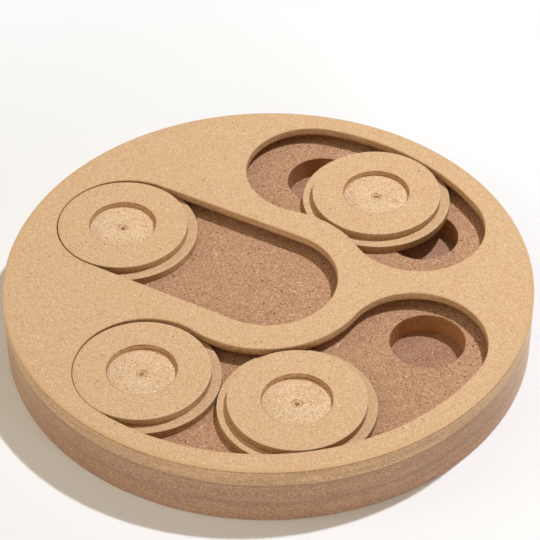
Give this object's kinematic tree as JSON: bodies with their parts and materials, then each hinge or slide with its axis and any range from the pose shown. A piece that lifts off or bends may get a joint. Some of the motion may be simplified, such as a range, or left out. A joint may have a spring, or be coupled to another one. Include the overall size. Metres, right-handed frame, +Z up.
{
  "type": "dog puzzle feeder toy",
  "caption": "Round fibreboard puzzle feeder with captive round sliders that run in straight and curved slots over treat wells.",
  "frame": {"origin": "centre of the underside of the round board, on the surface it stands on", "axes": "+Z up out of the slotted face; +X towards the well of the long slot that is open at rest, the board's right as pictured; +Y away from the viewer"},
  "size_m": [0.27, 0.27, 0.034],
  "materials": {
    "top_board": "sanded and clear lacquered MDF, pale tan",
    "well_board": "raw MDF, brown",
    "base_board": "raw MDF, brown",
    "flange": "sanded MDF, pale tan",
    "knob": "sanded MDF, pale tan"
  },
  "bodies": {
    "board": {"top_board": "top_board", "well_board": "well_board", "base_board": "base_board"},
    "slider_1": {"slider_1_flange": "flange", "slider_1_knob": "knob"},
    "slider_2": {"slider_2_flange": "flange", "slider_2_knob": "knob"},
    "slider_3": {"slider_3_flange": "flange", "slider_3_knob": "knob"},
    "slider_4": {"slider_4_flange": "flange", "slider_4_knob": "knob"}
  },
  "joints": [
    {"name": "slider_1_slide", "type": "slide", "parent": "board", "child": "slider_1", "axis": [0.866, -0.5, 0], "range_m": [0, 0.0887]},
    {"name": "slider_2_arc", "type": "hinge", "parent": "board", "child": "slider_2", "pos_m": [-0.0027, 0.0003, 0.026], "axis": [0, 0, 1], "range_deg": [-22.6, 24.9]},
    {"name": "slider_4_arc", "type": "hinge", "parent": "board", "child": "slider_4", "pos_m": [-0.0013, 0.0014, 0.026], "axis": [0, 0, 1], "range_deg": [0, 46.9]},
    {"name": "slider_3_arc", "type": "hinge", "parent": "board", "child": "slider_3", "pos_m": [-0.0013, 0.0014, 0.026], "axis": [0, 0, 1], "range_deg": [0, 46.9]}
  ],
  "couplings": [
    {"joint": "slider_3_arc", "follows": "slider_4_arc", "ratio": 1}
  ]
}
